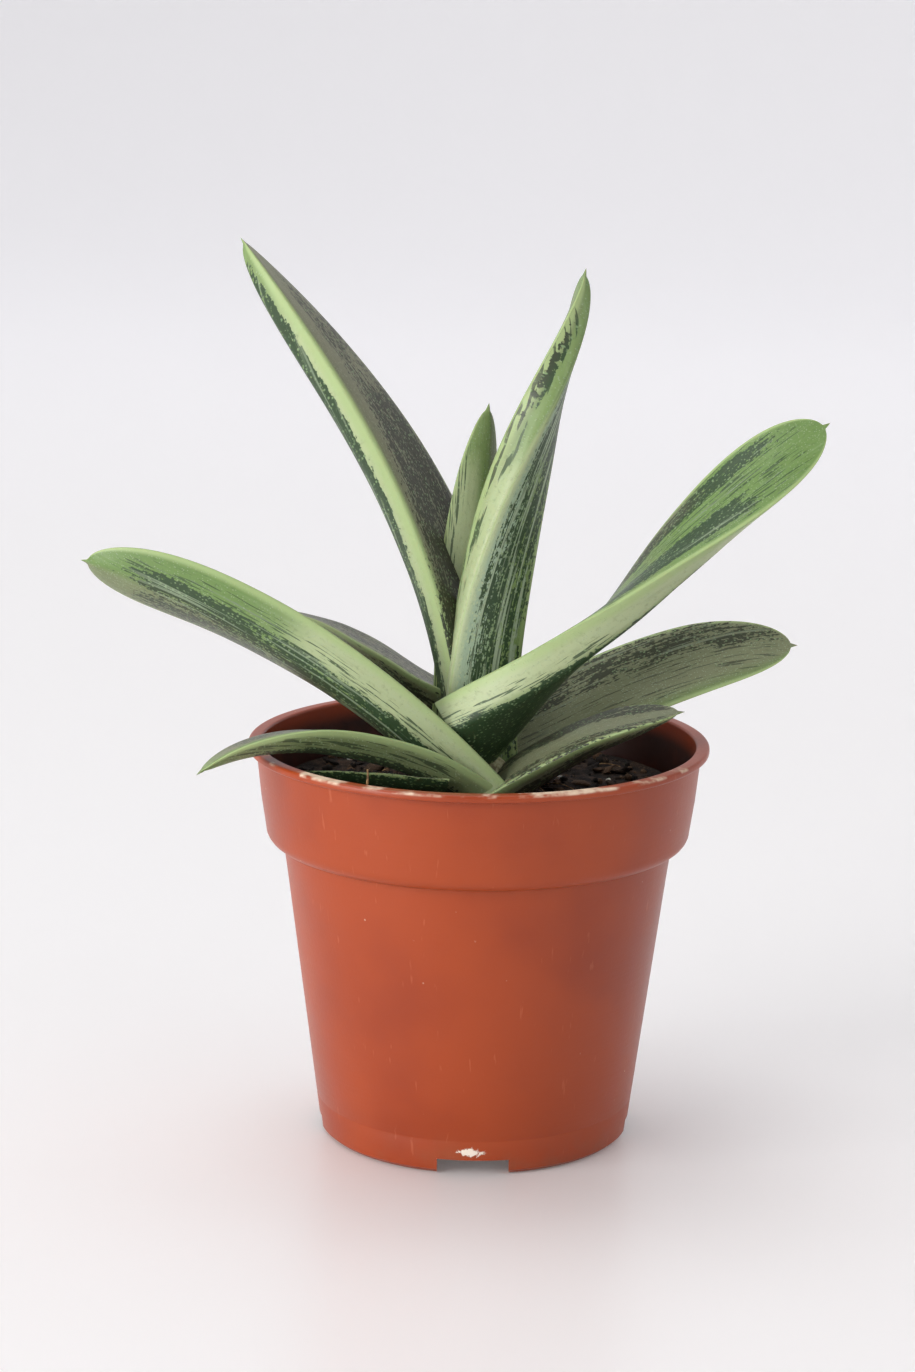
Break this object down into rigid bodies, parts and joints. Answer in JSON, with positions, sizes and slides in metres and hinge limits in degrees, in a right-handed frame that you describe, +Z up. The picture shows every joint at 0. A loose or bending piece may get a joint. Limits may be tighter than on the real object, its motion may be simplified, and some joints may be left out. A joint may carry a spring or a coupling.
{
  "type": "potted gasteria",
  "caption": "Small gasteria with thick speckled leaves, growing in dark soil in a round terracotta-coloured plastic grower's pot with a collar and foot notches.",
  "frame": {"origin": "on the surface that it stands on, under the middle of the whole plant and pot", "axes": "+Z up, -Y towards the front, where the low leaves arch over the rim, +X to the right seen from the front"},
  "size_m": [0.135, 0.085, 0.1645],
  "materials": {
    "pot_plastic": "satin",
    "soil": "matte",
    "leaf_skin": "satin",
    "stem_skin": "matte"
  },
  "bodies": {
    "root": {"pot": "pot_plastic", "potting_soil": "soil", "stem": "stem_skin", "leaf_heart": "leaf_skin", "leaf_upper_right": "leaf_skin", "leaf_upper_left": "leaf_skin", "leaf_right": "leaf_skin", "leaf_left": "leaf_skin", "leaf_back_left": "leaf_skin", "leaf_lower_right": "leaf_skin", "leaf_front_right": "leaf_skin", "leaf_front_left": "leaf_skin", "leaf_old": "leaf_skin"}
  },
  "joints": []
}
